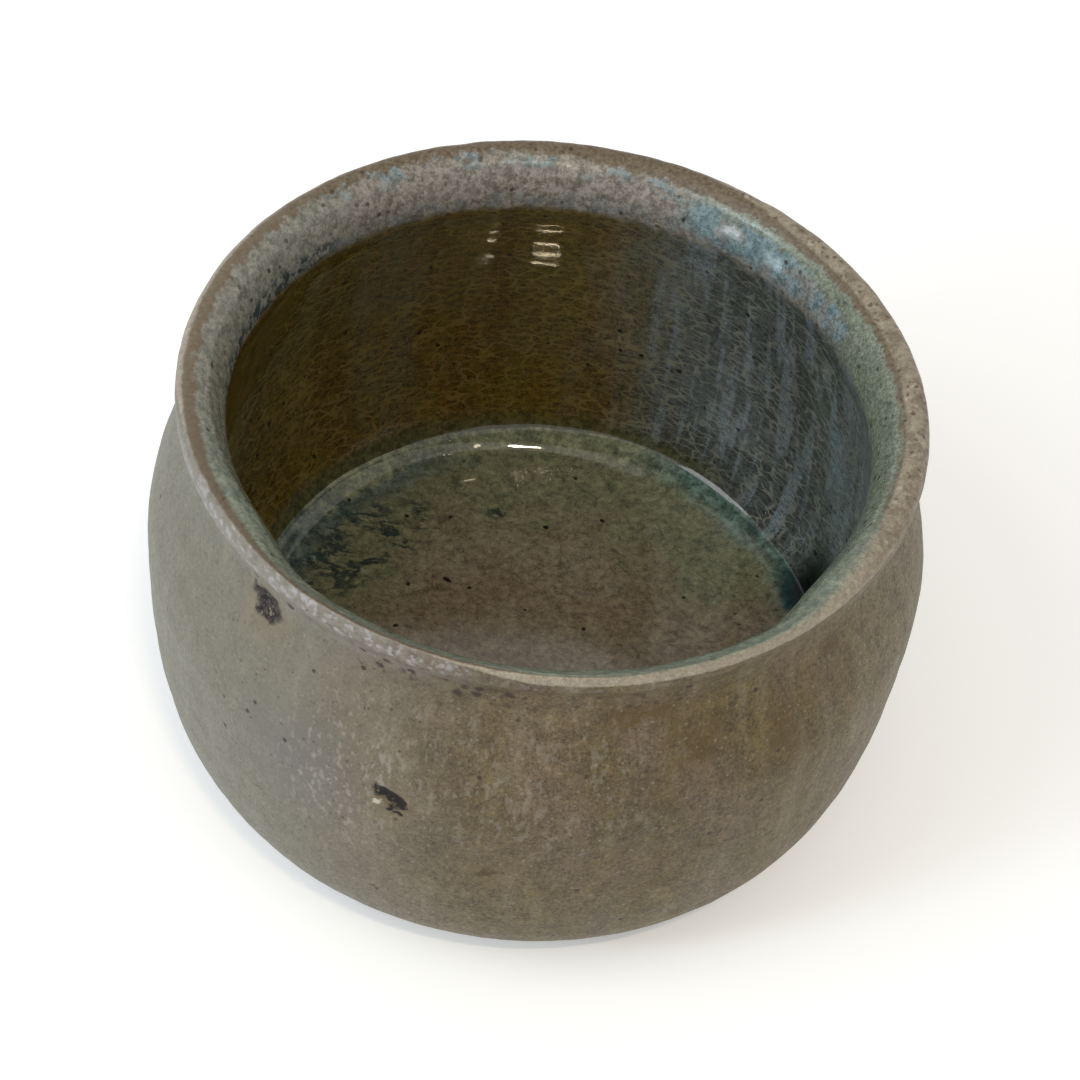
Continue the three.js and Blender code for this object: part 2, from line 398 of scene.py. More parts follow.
def glaze_line(mark):
    """Marks that waver near the foot, where each run of glaze stopped by itself."""
    up, long, short = LINE_WAVER
    waver = up + long * uneven(9, FULL_LENGTH, mark, seed=1) + short * uneven(31, FULL_LENGTH, mark, seed=2)
    return mark + waver * (1 - ease(mark, GLAZE_LINE, GLAZE_LINE + LINE_FADE))


def glaze_lift(mark):
    """Thickness of the glaze off the clay, before its fine relief."""
    lift = OUTER_LIFT * ease(mark, *LINE_EDGE)
    lift = lift + GLAZE_BEAD * np.exp(-((mark - BEAD_MARK) / BEAD_SPREAD) ** 2)
    for turned, start, end in LIFT_TURNS:
        lift = lerp(lift, turned, ease(mark, start, end))
    wide, narrow = ROLL_RUNS
    run = wide * uneven(40, FULL_LENGTH, mark, seed=3) + narrow * uneven(90, FULL_LENGTH, mark, seed=4)
    start, end = ROLL_END
    return lerp(lift, WALL_LIFT, ease(mark, start + run, end + RUN_STRETCH * run))


def blemish(mark, azimuth, middle, across, along, depth):
    """Relief of one hollow with a raised edge, or of one run of thick glaze."""
    sideways = np.radians(degrees_from(azimuth)) * BELLY_RADIUS / across
    reach = np.sqrt(sideways ** 2 + ((mark - middle) / along) ** 2)
    edge = BLEMISH_EDGE * np.exp(-((reach - EDGE_REACH) / EDGE_SPREAD) ** 2)
    return depth * (edge - 1 + ease(reach, MIDDLE_REACH, 1))


def glaze_relief(mark):
    """Fine relief of the glaze: uneven wall, throwing rings, orange peel and blemishes."""
    outside = 1 - ease(mark, LIP_START - 1, LIP_END)
    inside = ease(mark, BAND_END - 1, BAND_END + 3)
    low_wall = ease(mark, CAVITY - 4, CAVITY + 4)
    zones = (outside, 1 - outside - inside, inside, low_wall)
    rings = np.sin(2 * math.pi * mark / RING_PITCH + AZIMUTHS) * (0.6 + 0.4 * uneven(7, 9, mark, seed=5))
    peel = uneven(90, 3.1, mark, seed=7)
    grain = uneven(220, 1.3, mark, seed=8)
    relief = SWELL * uneven(12, 14, mark, seed=6) * outside - RELIEF_DROP
    for pattern, amounts in ((rings, RING_RELIEF), (peel, PEEL_RELIEF), (grain, GRAIN_RELIEF)):
        relief = relief + pattern * sum(zone * amount for zone, amount in zip(zones, amounts))
    return relief + sum(blemish(mark, *row) for row in BLEMISHES)


def glaze_rows(marks):
    """Places of the glaze surface, and of the clay under it, for a column of marks."""
    column = marks[:, None]
    mark = glaze_line(column)
    inside = insideness(column)
    lift = glaze_lift(column) + glaze_relief(column)
    return thrown_skin(mark, lift, inside), thrown_skin(mark, SUNK, inside)


# Meshes

def grid_faces(rows, closed):
    """Faces between rings of points, and from the last ring to the first where the section is closed."""
    first = np.arange(rows if closed else rows - 1)[:, None] * SEGMENTS
    here = first + np.arange(SEGMENTS)
    side = first + (np.arange(SEGMENTS) + 1) % SEGMENTS
    above = (here + SEGMENTS) % (rows * SEGMENTS)
    above_side = (side + SEGMENTS) % (rows * SEGMENTS)
    return np.stack([here, side, above_side, above], axis=-1).reshape(-1, 4).tolist()


def ring_fan(row, middle, up):
    """Triangles from a ring to a point on the axis."""
    here = row * SEGMENTS + np.arange(SEGMENTS)
    side = row * SEGMENTS + (np.arange(SEGMENTS) + 1) % SEGMENTS
    middles = np.full(SEGMENTS, middle)
    corners = [here, side, middles] if up else [side, here, middles]
    return np.stack(corners, axis=-1).tolist()


def closed_rings(rings, centres):
    """Points and faces of rings that end in one point below and one above."""
    rows = len(rings)
    points = np.concatenate([rings.reshape(-1, 3), np.array(centres)])
    faces = grid_faces(rows, False)
    faces += ring_fan(0, rows * SEGMENTS, False) + ring_fan(rows - 1, rows * SEGMENTS + 1, True)
    return points, faces


def new_piece(name, points, faces, marks, sharp_rows):
    """A smooth-shaded mesh object, with the mark of each point kept for its material."""
    mesh = bpy.data.meshes.new(name)
    mesh.from_pydata((points * MM).tolist(), [], faces)
    mesh.shade_smooth()
    mesh.attributes.new("mark", "FLOAT", "POINT").data.foreach_set("value", marks.astype(np.float32))
    edges = np.zeros(len(mesh.edges) * 2, np.int32)
    mesh.edges.foreach_get("vertices", edges)
    rows = edges.reshape(-1, 2) // SEGMENTS
    sharp = (rows[:, 0] == rows[:, 1]) & np.isin(rows[:, 0], sharp_rows)
    mesh.attributes.new("sharp_edge", "BOOLEAN", "EDGE").data.foreach_set("value", sharp)
    piece = bpy.data.objects.new(name, mesh)
    bpy.context.scene.collection.objects.link(piece)
    return piece


def surface_normals(grid):
    """Normals of a grid of places that closes around the axis."""
    along = np.gradient(grid, axis=0)
    across = np.roll(grid, -1, axis=1) - np.roll(grid, 1, axis=1)
    normal = np.cross(across, along)
    return normal / np.maximum(np.linalg.norm(normal, axis=-1, keepdims=True), 1e-12)


def make_coats():
    """The four coats on the wall and lip: slices of one surface that share their border rings."""
    marks = np.concatenate([ZONES["outer"]] + [ZONES[zone][1:] for zone in ("lip", "band", "wall")])
    surface, seat = glaze_rows(marks)
    normals = surface_normals(surface)
    coats = {}
    first = 0
    for zone, zone_marks in ZONES.items():
        last = first + len(zone_marks) - 1
        under = np.unique(np.append(np.arange(first, last, SEAT_STRIDE), last))[::-1]
        points = np.concatenate([surface[first:last + 1], seat[under]])
        row_marks = np.concatenate([marks[first:last + 1], marks[under]])
        rows = len(points)
        top_rows = last + 1 - first
        piece = new_piece(zone + "_coat", points.reshape(-1, 3), grid_faces(rows, True),
                          np.repeat(row_marks, SEGMENTS), [0, top_rows - 1, top_rows, rows - 1])
        shading = np.zeros((rows, SEGMENTS, 3))
        shading[:top_rows] = normals[first:last + 1]
        piece.data.normals_split_custom_set_from_vertices(shading.reshape(-1, 3).tolist())
        coats[zone] = piece
        first = last
    return coats


def pool_rows():
    """Places of the pool's face: level in the middle, a step, a ledge and a fillet up to the wall."""
    rise = MENISCUS_RISE + POOL_WAVER * uneven(24, FULL_LENGTH, np.zeros((1, 1)), seed=11)[0]
    for azimuth, spread, climb in POOL_CLIMBS:
        rise = rise + climb * around(azimuth, spread)
    line = POOL_LEVEL + rise
    edge = on_skin(mark_at_height(line), WALL_LIFT - POOL_UNDERLAP)[0]
    plain = 1 - ease(degrees_off(PLAIN_AZIMUTH), *PLAIN_FADE)
    steepest = lerp(STEP_SLOPE - SOFT_STEP_CUT * around(*SOFT_STEP), PLAIN_STEP_SLOPE, plain)
    fillet = FILLET_REACH * (1 - PLAIN_FILLET_CUT * plain - TIGHT_FILLET_CUT * around(*TIGHT_FILLET))
    fillet_drop = np.minimum(FILLET_SLOPE * fillet, FILLET_SHARE * rise)
    ledge = LEDGE_WIDTH + BACK_LEDGE_WIDTH * around(*BACK_LEDGE)
    step = rise - fillet_drop - LEDGE_SLOPE * ledge
    run = ledge + EASE_SLOPE * step / steepest
    shares = np.concatenate([np.linspace(0, 1, POOL_EDGE_ROWS)[:-1] ** 1.5,
                             1 + np.linspace(0, 1, int(FLOOR_RADIUS / POOL_STEP))[:-1]])[:, None]
    radius = np.where(shares < 1, edge - run * shares, (edge - run) * (2 - shares))
    reach = edge - radius
    drop = LEDGE_SLOPE * np.minimum(reach, ledge) + step * ease(reach, ledge, run)
    drop = drop + fillet_drop * (1 - np.exp(-reach / fillet))
    height = line - drop * rise / drop[-1]
    ripple = POOL_RIPPLE * uneven(14, 9, 40 - radius, seed=12)
    return radius, height - POOL_SUNK + ripple * ease(radius, 2, 8)


def make_pool():
    """The glass on the floor, closed by a bed under the coat on the wall."""
    radius, height = pool_rows()
    top = thrown(radius, height, 1.0)
    bed_marks = rows_between(POOL_MARK - 1, CENTRE - 1, BED_STEP)
    bed_radius, bed_height = on_skin(bed_marks[:, None], SUNK)
    bed = thrown(bed_radius, bed_height, 1.0)[::-1]
    centres = [(FLOOR_SHIFT, 0, bed[0, 0, 2]), (FLOOR_SHIFT, 0, top[-1, :, 2].mean())]
    points, faces = closed_rings(np.concatenate([bed, top]), centres)
    return new_piece("floor_pool", points, faces, np.full(len(points), CENTRE), [len(bed)])


def foot_outline():
    """The underside of the clay: the recess from its middle out, then the foot ring."""
    recess_edge = FOOT_INNER - FOOT_TAPER
    ring_top = FOOT_OUTER + FOOT_TAPER
    turn = np.linspace(0, math.pi / 2, FILLET_POINTS)
    hollow = np.array([recess_edge - FOOT_FILLET, RECESS_DEPTH - FOOT_FILLET])
    hollow = hollow + FOOT_FILLET * np.stack([np.sin(turn), np.cos(turn)], axis=1)
    shoulder = np.array([ring_top + FOOT_FILLET, FOOT_HEIGHT - FOOT_FILLET])
    shoulder = shoulder + FOOT_FILLET * np.stack([-np.cos(turn), np.sin(turn)], axis=1)
    inset, rise = TREAD_ROUNDING
    tread = [(FOOT_INNER, FOOT_EDGE), (FOOT_INNER + inset, rise), (FOOT_INNER + FOOT_EDGE, 0),
             (FOOT_OUTER - FOOT_EDGE, 0), (FOOT_OUTER - inset, rise), (FOOT_OUTER, FOOT_EDGE)]
    corners = np.concatenate([[(1.0, RECESS_DEPTH)], hollow, tread, shoulder])
    reached = lengths_along(corners)
    stops = np.unique(np.concatenate([np.arange(0, reached[-1], FOOT_STEP), reached]))
    return np.stack([np.interp(stops, reached, corners[:, axis]) for axis in (0, 1)], axis=1)


SPIRAL_PITCH = 1.9
SPIRAL_RELIEF = 0.07
GROG_RELIEF = 0.03
BARE_RELIEF = 0.04
BARE_REACH = 4


def turned_marks(outline):
    """Relief that the turning tool and the coarse clay left on the foot, up from the surface."""
    reached = lengths_along(outline)[:, None]
    flat = ease(np.abs(outline[:, 1:] - RECESS_DEPTH), 0.05, 0.4)
    spiral = np.sin(2 * math.pi * reached / SPIRAL_PITCH + AZIMUTHS)
    spiral = spiral * (0.6 + 0.4 * uneven(9, 6, reached, seed=21))
    grog = GROG_RELIEF * uneven(180, 1.0, reached, seed=22)
    return (SPIRAL_RELIEF * spiral * (1 - flat) + grog) * ease(outline[:, 1:], 0.02, 0.5)


def make_clay():
    """The clay body: turned foot, bare shoulder, and the wall and floor under the glaze."""
    outline = foot_outline()
    foot = thrown(outline[:, :1], outline[:, 1:], 0.0)
    foot[..., 2] += turned_marks(outline)
    bare = rows_between(0, GLAZE_LINE + BARE_REACH, FOOT_STEP)[1:]
    covered = rows_between(GLAZE_LINE + BARE_REACH, CENTRE - 1, COVERED_STEP)[1:]
    marks = np.concatenate([bare, covered])
    column = marks[:, None]
    rough = BARE_RELIEF * uneven(200, 1.1, column, seed=23) * (1 - ease(column, 4, 8))
    wall = thrown_skin(column, rough, insideness(column))
    centres = [(0, 0, RECESS_DEPTH), (FLOOR_SHIFT, 0, FLOOR_HEIGHT)]
    points, faces = closed_rings(np.concatenate([foot, wall]), centres)
    row_marks = np.concatenate([np.full(len(foot), -1.0), marks])
    point_marks = np.append(np.repeat(row_marks, SEGMENTS), [-1.0, CENTRE])
    return new_piece("turned_clay", points, faces, point_marks, [])


# Materials

SPOT_DEPTH = 20


def tone(red, green, blue):
    """A colour from its display values, 0 to 255."""
    linear = [(v / 255 / 12.92) if v < 11 else ((v / 255 + 0.055) / 1.055) ** 2.4 for v in (red, green, blue)]
    return (*linear, 1.0)


def compass(azimuth):
    """Directions out from the axis, and around it, at an azimuth."""
    turn = math.radians(azimuth)
    return Vector((math.cos(turn), math.sin(turn), 0)), Vector((-math.sin(turn), math.cos(turn), 0))


class Look:
    """A material in the making: short names for shader nodes, and a colour that coats are laid on."""

    def __init__(self, name):
        self.material = bpy.data.materials.new(name)
        self.material.use_nodes = True
        self.tree = self.material.node_tree
        self.shader = self.tree.nodes["Principled BSDF"]
        self.place = self.vector("SCALE", self.add("TexCoord").outputs["Object"], scale=1 / MM)
        parts = self.add("SeparateXYZ")
        self.feed(parts.inputs[0], self.place)
        self.x, self.y, self.z = parts.outputs
        self.outward = self.vector("NORMALIZE", self.vector("MULTIPLY", self.place, (1, 1, 0)))
        self.mark = self.add("Attribute", attribute_name="mark").outputs["Fac"]
        self.past = self.math("SUBTRACT", self.mark, CREST)
        self.colour = None

    def add(self, kind, **settings):
        node = self.tree.nodes.new("ShaderNode" + kind)
        for key, value in settings.items():
            setattr(node, key, value)
        return node

    def feed(self, socket, value):
        if isinstance(value, bpy.types.NodeSocket):
            self.tree.links.new(value, socket)
        else:
            socket.default_value = value

    def feed_row(self, node, *values):
        for socket, value in zip(node.inputs, values):
            self.feed(socket, value)
        return node.outputs[0]

    def feed_all(self, node, **values):
        for key, value in values.items():
            self.feed(node.inputs[key], value)

    def math(self, operation, *values):
        return self.feed_row(self.add("Math", operation=operation), *values)

    def times(self, first, *others):
        for other in others:
            first = self.math("MULTIPLY", first, other)
        return first

    def plus(self, first, *others):
        for other in others:
            first = self.math("ADD", first, other)
        return first

    def capped(self, *values):
        """A sum of at most 1."""
        return self.math("MINIMUM", self.plus(*values), 1.0)

    def centred(self, noise):
        """A noise around 0 instead of around a half."""
        return self.math("SUBTRACT", noise, 0.5)

    def vector(self, operation, *values, scale=None):
        node = self.add("VectorMath", operation=operation)
        self.feed_row(node, *values)
        if scale is not None:
            self.feed(node.inputs["Scale"], scale)
        return node.outputs["Value" if operation in ("LENGTH", "DOT_PRODUCT") else "Vector"]

    def ramp(self, value, low, high, start=0.0, end=1.0):
        """Smooth step of a value, from start at low to end at high."""
        node = self.add("MapRange", interpolation_type="SMOOTHSTEP")
        return self.feed_row(node, value, low, high, start, end)

    def between(self, value, start, full, fade, none):
        """1 from full to fade, falling to 0 at start and at none."""
        return self.times(self.ramp(value, start, full), self.ramp(value, none, fade))

    def mix(self, share, first, second):
        node = self.add("Mix", data_type="RGBA")
        for index, value in ((0, share), (6, first), (7, second)):
            self.feed(node.inputs[index], value)
        return node.outputs[2]

    def graded(self, value, low, high, first, second):
        """One display colour where a value is under low, turning into another at high."""
        return self.mix(self.ramp(value, low, high), tone(*first), tone(*second))

    def ground(self, *grading):
        """Starts the colour over with a graded one."""
        self.colour = self.graded(*grading)

    def lay(self, coat, *shares):
        """Lays a display colour or a mixed one over the colour, as far as the product of shares goes."""
        coat = tone(*coat) if isinstance(coat, tuple) else coat
        self.colour = self.mix(self.times(*shares), self.colour, coat)

    def noise(self, scale, detail=2.0, roughness=0.5, where=None):
        node = self.add("TexNoise")
        where = self.place if where is None else where
        self.feed_all(node, Vector=where, Scale=scale, Detail=detail, Roughness=roughness)
        return node.outputs["Fac"]

    def cells(self, where, scale, feature="F1"):
        node = self.add("TexVoronoi", feature=feature)
        self.feed_all(node, Vector=where, Scale=scale)
        return node.outputs["Distance"]

    def flecks(self, scale, size, where=None):
        """Scattered dots: 1 at the middle of some cells, 0 away from them."""
        where = self.place if where is None else where
        return self.ramp(self.cells(where, scale), size, size * 0.45)

    def blobs(self, scale, low, high, where=None):
        """Irregular patches: 0 where the noise is under low, 1 where it is over high."""
        return self.ramp(self.noise(scale, 3, 0.62, where), low, high)

    def swing(self, *pairs):
        """A factor around 1, from noises and how much each of them counts."""
        total = 1.0
        for value, amount in pairs:
            total = self.plus(self.times(self.centred(value), amount), total)
        return self.math("MAXIMUM", total, 0.2)

    def shade(self, factor):
        self.colour = self.vector("SCALE", self.colour, scale=factor)

    def stretched(self, along):
        """Coordinates around the wall, squeezed along the axis so that noise runs down it."""
        return self.vector("ADD", self.vector("SCALE", self.outward, scale=BELLY_RADIUS),
                           self.vector("MULTIPLY", self.place, (0, 0, along)))

    def shaken(self, amount, scale, detail=2.0):
        """Places moved by noise, for ragged outlines."""
        node = self.add("TexNoise")
        self.feed_all(node, Vector=self.place, Scale=scale, Detail=detail)
        moved = self.vector("SUBTRACT", node.outputs["Color"], (0.5, 0.5, 0.5))
        return self.vector("ADD", self.place, self.vector("SCALE", moved, scale=amount))

    def facing(self, azimuth, full, none):
        """1 within an angle of an azimuth, fading to 0 at a wider angle."""
        alike = self.vector("DOT_PRODUCT", self.outward, tuple(compass(azimuth)[0]))
        return self.ramp(alike, math.cos(math.radians(none)), math.cos(math.radians(full)))

    def reach(self, off, *axes):
        """Length of an offset, measured along axes."""
        parts = [self.vector("DOT_PRODUCT", off, tuple(axis)) for axis in axes]
        return self.vector("LENGTH", self.feed_row(self.add("CombineXYZ"), *parts))

    def spot(self, where, azimuth, radius, height, across, along, tilt=0.0, soft=0.5):
        """A patch on the wall: 1 inside its ellipse, fading to 0 at its edge."""
        lean = math.radians(tilt)
        out, side = compass(azimuth)
        up = Vector((0, 0, 1))
        off = self.vector("SUBTRACT", where, tuple(out * radius + up * height))
        wide = (side * math.cos(lean) + up * math.sin(lean)) / across
        tall = (up * math.cos(lean) - side * math.sin(lean)) / along
        return self.ramp(self.reach(off, wide, tall, out / SPOT_DEPTH), 1.0, 1.0 - soft)

    def stains(self, where, rows):
        """Patches on the outside, from rows of azimuth, height, across, along, tilt and softness."""
        return self.capped(*[self.spot(where, azimuth, radius_at(height), height, *shape)
                             for azimuth, height, *shape in rows])

    def patch(self, where, azimuth, radius, across, out, soft=0.5):
        """A patch on the floor: 1 inside its ellipse, fading to 0 at its edge."""
        outward, side = compass(azimuth)
        off = self.vector("SUBTRACT", where, tuple(outward * radius + Vector((FLOOR_SHIFT, 0, 0))))
        return self.ramp(self.reach(off, side / across, outward / out), 1.0, 1.0 - soft)

    def bump(self, height, distance):
        node = self.add("Bump")
        self.feed_all(node, Distance=distance * MM, Height=height)
        return node.outputs[0]

    def finish(self, roughness, normal, specular):
        self.feed_all(self.shader, **{"Base Color": self.colour, "Roughness": roughness, "Normal": normal,
                                      "Specular IOR Level": specular})
        return self.material


# Glaze on the outside

# Rows of azimuth, height, across, along, tilt and softness
LILAC_CLOUD = [(-120, 34, 11, 12, 0, 0.95)]
OCHRE_STAINS = [
    (-71, 49.5, 7.5, 3.4, 0, 0.8),
    (-47, 41, 3.5, 7.5, 0, 0.8),
    (-37, 46.5, 2.6, 5, 0, 0.8),
    (-62, 45, 5, 5, 0, 0.8),
]
PALE_DRIP = [(-44.5, 29, 2.0, 18, 0, 0.95)]
DABBED_AREA = [(-113, 33, 13, 16, 0, 0.8)]
SPOT_HALOS = [
    (-131, 49.2, 6, 6, 0, 0.95),
    (-105, 33.5, 4, 5, 0, 0.95),
    (-90, 25.5, 4, 3, 0, 0.95),
]
BURNT_SPOTS = [
    (-131, 49.9, 2.9, 2.3, -20, 0.35),
    (-105.6, 35.9, 1.7, 1.1, -15, 0.4),
    (-103.6, 35.3, 1.2, 1.4, 0, 0.4),
    (-103.2, 33.4, 0.7, 0.6, 0, 0.5),
    (-104.4, 33.9, 0.5, 0.6, 0, 0.5),
]
SCORCHED_AREA = [(-104.4, 34.6, 2.7, 2.5, 0, 0.8)]
CHIP = [(-106.4, 34.2, 0.8, 0.6, 0, 0.5)]
RUST_SPOTS = [
    (-90.5, 26, 1.7, 1.1, 28, 0.7),
    (-88, 26.7, 0.6, 0.4, -20, 0.7),
    (-106, 17, 0.9, 0.4, 10, 0.7),
]


def outer_ground(look):
    """The satin coat outside: grey on the left, pinkish brown in front and olive on the right."""
    clouds = look.noise(0.11, 3, 0.55, look.stretched(0.7))
    drift = look.noise(0.15, 3, 0.55, look.stretched(0.3))
    blotch = look.noise(0.5, 4, 0.6)
    streaks = look.noise(0.4, 3, 0.6, look.stretched(0.16))
    mottle = look.noise(2.0, 4, 0.72)
    grain = look.noise(4.0, 3, 0.65)

    look.ground(clouds, 0.4, 0.6, (91, 78, 56), (103, 88, 69))
    cloudy = look.ramp(clouds, 0.62, 0.42, 0.3, 0.8)
    look.lay((106, 98, 76), look.ramp(look.z, 32, 10), cloudy)
    look.lay((96, 82, 48), look.facing(-42, 28, 62), look.ramp(drift, 0.3, 0.62))
    look.lay((106, 95, 71), look.facing(15, 30, 60))
    look.lay((110, 103, 86), look.facing(95, 40, 90))
    look.lay((117, 113, 100), look.facing(-168, 35, 78))
    look.lay((141, 136, 121), look.ramp(streaks, 0.5, 0.68), 0.15)
    look.lay((78, 63, 42), look.ramp(mottle, 0.44, 0.3), 0.1)
    calm = look.ramp(look.facing(-165, 35, 82), 0.0, 1.0, 1.0, 0.35)
    swings = ((blotch, 1.4), (streaks, 0.45), (mottle, 1.3), (grain, 1.1))
    look.shade(look.swing(*[(pattern, look.times(calm, amount)) for pattern, amount in swings]))
    return mottle, grain


def under_lip(look):
    """Frost on the left and iron specks in front, on the outside under the crest."""
    frosty = look.facing(-128, 18, 38)
    frost = look.blobs(0.6, 0.3, 0.6)
    below = look.ramp(look.past, -8.0, -4.5)
    look.lay((143, 136, 130), below, frosty, frost, 0.6)
    snowy = look.plus(frosty, look.times(look.facing(-95, 22, 40), 0.25))
    snow = look.times(look.flecks(0.95, 0.6, look.shaken(1.3, 1.5, 3)), look.blobs(0.8, 0.36, 0.56))
    near = look.ramp(look.past, -4.2, -2.6)
    look.lay((176, 171, 174), near, snowy, snow, 0.6)
    low = look.between(look.past, -9.0, -7.6, -5.4, -4.6)
    iron = look.flecks(0.6, 0.42, look.shaken(1.0, 1.0, 3))
    look.lay((50, 34, 28), low, look.facing(-95, 30, 46), iron, 0.9)


def clouded(look, ragged):
    """A lilac cloud on the left, ochre stains and a pale drip on the right."""
    look.lay((109, 105, 101), look.stains(ragged, LILAC_CLOUD), 0.75)
    broken = look.blobs(0.4, 0.36, 0.58, look.shaken(1.2, 0.6))
    look.lay((84, 65, 27), look.stains(ragged, OCHRE_STAINS), broken, 0.85)
    look.lay((126, 116, 94), look.stains(ragged, PALE_DRIP), 0.4)


def dusted(look, pinholes):
    """Pale dabs, pale and dark dust, and pinholes."""
    front = look.times(look.facing(-92, 14, 34), look.between(look.z, 26, 34, 46, 51), 0.5)
    dabbed = look.plus(look.stains(look.place, DABBED_AREA), front)
    dabs = look.times(look.blobs(1.2, 0.52, 0.66, look.stretched(0.55)), dabbed)
    look.lay((146, 141, 130), look.capped(dabs), 0.7)
    dusty = look.facing(-72, 52, 85)
    pale_dust = look.flecks(0.9, 0.2, look.shaken(0.5, 1.5))
    look.lay((152, 144, 126), pale_dust, dusty, 0.4)
    dark_dust = look.flecks(0.62, 0.15, look.shaken(0.5, 1.2))
    look.lay((64, 50, 34), dark_dust, dusty, 0.6)
    look.lay((46, 34, 24), pinholes, 0.9)


def burnt(look, ragged, frayed, char, ash):
    """Dark burnt spots with a halo, a pale chip beside one of them, and rust."""
    look.lay((118, 104, 72), look.stains(ragged, SPOT_HALOS), 0.45)
    look.lay((84, 70, 48), look.stains(frayed, SCORCHED_AREA), 0.6)
    look.lay(look.mix(ash, tone(16, 12, 9), tone(66, 57, 56)), char)
    look.lay((186, 180, 164), look.stains(frayed, CHIP))
    look.lay((62, 46, 18), look.stains(frayed, RUST_SPOTS), 0.9)


def outer_glaze_look():
    look = Look("outer_glaze")
    mottle, grain = outer_ground(look)
    ragged = look.shaken(3.0, 0.5, 4)
    frayed = look.shaken(2.4, 0.9, 4)
    pinholes = look.flecks(0.21, 0.09)
    char = look.times(look.stains(frayed, BURNT_SPOTS), look.blobs(1.3, 0.3, 0.44))
    ash = look.times(look.blobs(1.6, 0.4, 0.62), look.facing(-131, 6, 14))

    clouded(look, ragged)
    under_lip(look)
    dusted(look, pinholes)
    burnt(look, ragged, frayed, char, ash)
    foot = look.ramp(look.mark, GLAZE_LINE + 3.5, GLAZE_LINE)
    look.lay((88, 70, 46), foot, 0.75)

    roughness = look.plus(look.ramp(mottle, 0.3, 0.7, 0.56, 0.42), look.times(char, 0.2))
    peel = look.plus(look.times(mottle, 0.7), look.times(grain, 0.3), look.times(pinholes, -0.8),
                     look.times(char, ash, -0.6))
    return look.finish(roughness, look.bump(peel, 0.08), 0.3)


# Glaze on the lip and inside

LINER_RADIUS = 39
BAND_START = 1.35  # past the crest


def wall_ground(look):
    """The liner: olive-brown with rusty runs, slate on the right with pale bluish streaks that partly paint
    the window's reflection, and fine level crazing.
    """
    runs = look.noise(0.22, 3, 0.55, look.stretched(0.08))
    fine_runs = look.noise(0.9, 3, 0.6, look.stretched(0.1))
    bluish_runs_and_painted_reflection = look.noise(0.4, 3, 0.55, look.stretched(0.16))
    strayed = look.noise(0.3, 3, 0.6, look.stretched(0.35))
    mottle = look.noise(1.3, 4, 0.7)
    grain = look.noise(3.8, 3, 0.65)
    flattened = look.vector("MULTIPLY", look.shaken(1.6, 0.35), (0.7, 0.7, 3.2))
    ripples = look.noise(0.8, 4, 0.62, flattened)
    layered = look.vector("MULTIPLY", look.shaken(1.6, 0.6, 3), (0.36, 0.36, 1.0))
    crazing = look.cells(layered, 0.85, "DISTANCE_TO_EDGE")

    look.ground(runs, 0.36, 0.62, (76, 57, 11), (84, 70, 23))
    look.lay((96, 67, 28), look.ramp(fine_runs, 0.52, 0.38), look.facing(90, 26, 50), 0.45)
    look.lay((82, 78, 60), look.facing(126, 3, 9), look.ramp(fine_runs, 0.34, 0.55), 0.6)
    slate = look.graded(runs, 0.36, 0.64, (93, 96, 88), (113, 121, 119))
    slaty = look.plus(look.facing(10, 24, 92), look.times(look.centred(strayed), 0.6))
    slaty = look.ramp(slaty, 0.05, 1.0)
    look.lay(slate, slaty)
    look.lay((60, 65, 64), look.facing(52, 12, 34), slaty, 0.9)
    # Pale bluish streaks on the right: partly the slate glaze's own runs, partly painted reflection of the
    # window in the glossy wall.
    look.lay((108, 120, 126), look.facing(44, 18, 36), look.ramp(bluish_runs_and_painted_reflection, 0.48, 0.62), 0.7)

    patchy = look.ramp(look.noise(0.3, 3, 0.6), 0.36, 0.6, 0.25, 1.0)
    lines = look.times(look.ramp(crazing, 0.1, 0.03), patchy)
    look.shade(look.swing((mottle, 2.4), (grain, 2.6), (ripples, 2.0)))
    pale = look.mix(slaty, tone(116, 99, 52), tone(126, 129, 118))
    look.lay(pale, lines, 0.7)
    return mottle, lines


def turquoise_runs(look, inner):
    """Where turquoise glaze ran: a wide and a small run on the right, and a broken fringe at the back."""
    ragged = look.shaken(2.6, 0.6, 4)
    wide = look.times(look.facing(56, 9, 18),
                      look.between(inner, 2.2, 2.6, 5, 7))
    small = look.times(look.facing(34, 3, 7),
                       look.between(inner, 3, 3.5, 5.5, 7))
    fringe = look.times(look.facing(100, 34, 50),
                        look.between(inner, 1.2, 1.5, 2.2, 3.6))
    broken = look.ramp(look.blobs(0.34, 0.42, 0.5, ragged), 0.0, 1.0, 0.35, 1.0)
    sparse = look.blobs(0.34, 0.5, 0.58, ragged)
    return look.capped(look.times(look.capped(wide, small), broken), look.times(fringe, sparse, 0.7))


